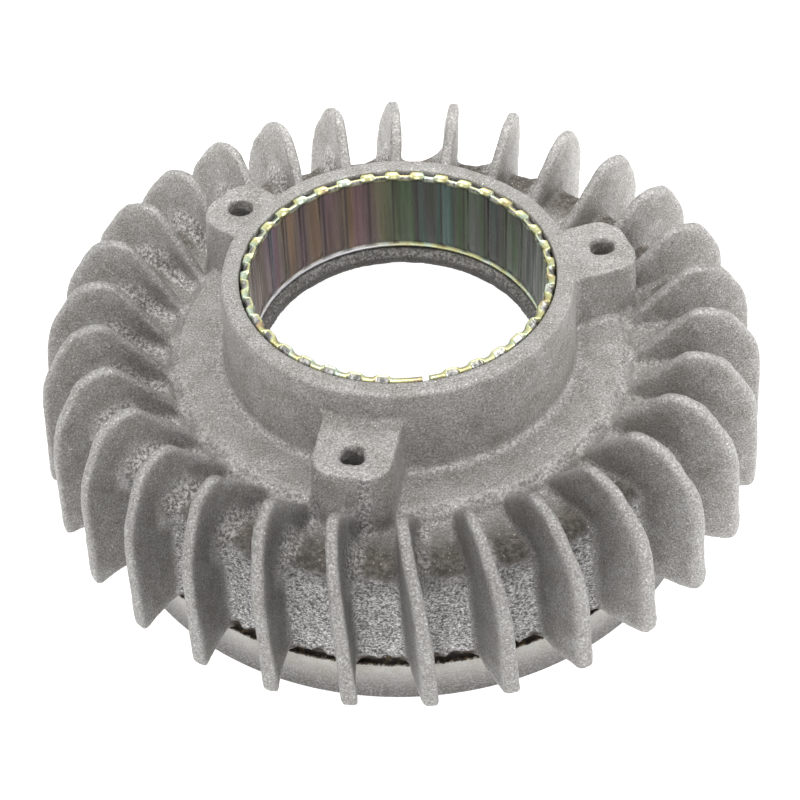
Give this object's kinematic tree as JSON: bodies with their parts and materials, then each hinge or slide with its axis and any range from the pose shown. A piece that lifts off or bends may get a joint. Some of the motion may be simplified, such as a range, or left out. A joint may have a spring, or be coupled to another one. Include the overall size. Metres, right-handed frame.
{
  "type": "flywheel",
  "caption": "Cast fan flywheel of a small engine: bell-shaped body, curved cooling blades, raised hub with screw lugs, rim ring and a corrugated tolerance ring in the bore.",
  "frame": {"origin": "on the axis of rotation, level with the rim ring's lower face, the lowest point of the flywheel", "axes": "+Z along the axis of rotation, from the open underside towards the hub; +Y away from the lug at the front of the picture, +X to its right"},
  "size_m": [0.1778, 0.1778, 0.0663],
  "materials": {
    "cast_aluminium": "rough sand-cast grey, unpainted",
    "turned_steel": "smooth turned, satin",
    "passivated_spring": "yellow-passivated zinc, shiny with green and violet tints"
  },
  "bodies": {
    "wheel": {"fan_casting": "cast_aluminium", "rim_ring": "turned_steel"},
    "tolerance_ring": {"tolerance_ring": "passivated_spring"}
  },
  "joints": [
    {"name": "tolerance_ring_turn", "type": "hinge", "parent": "wheel", "child": "tolerance_ring", "pos_m": [0, 0, 0.055], "axis": [0, 0, 1], "continuous": true}
  ]
}
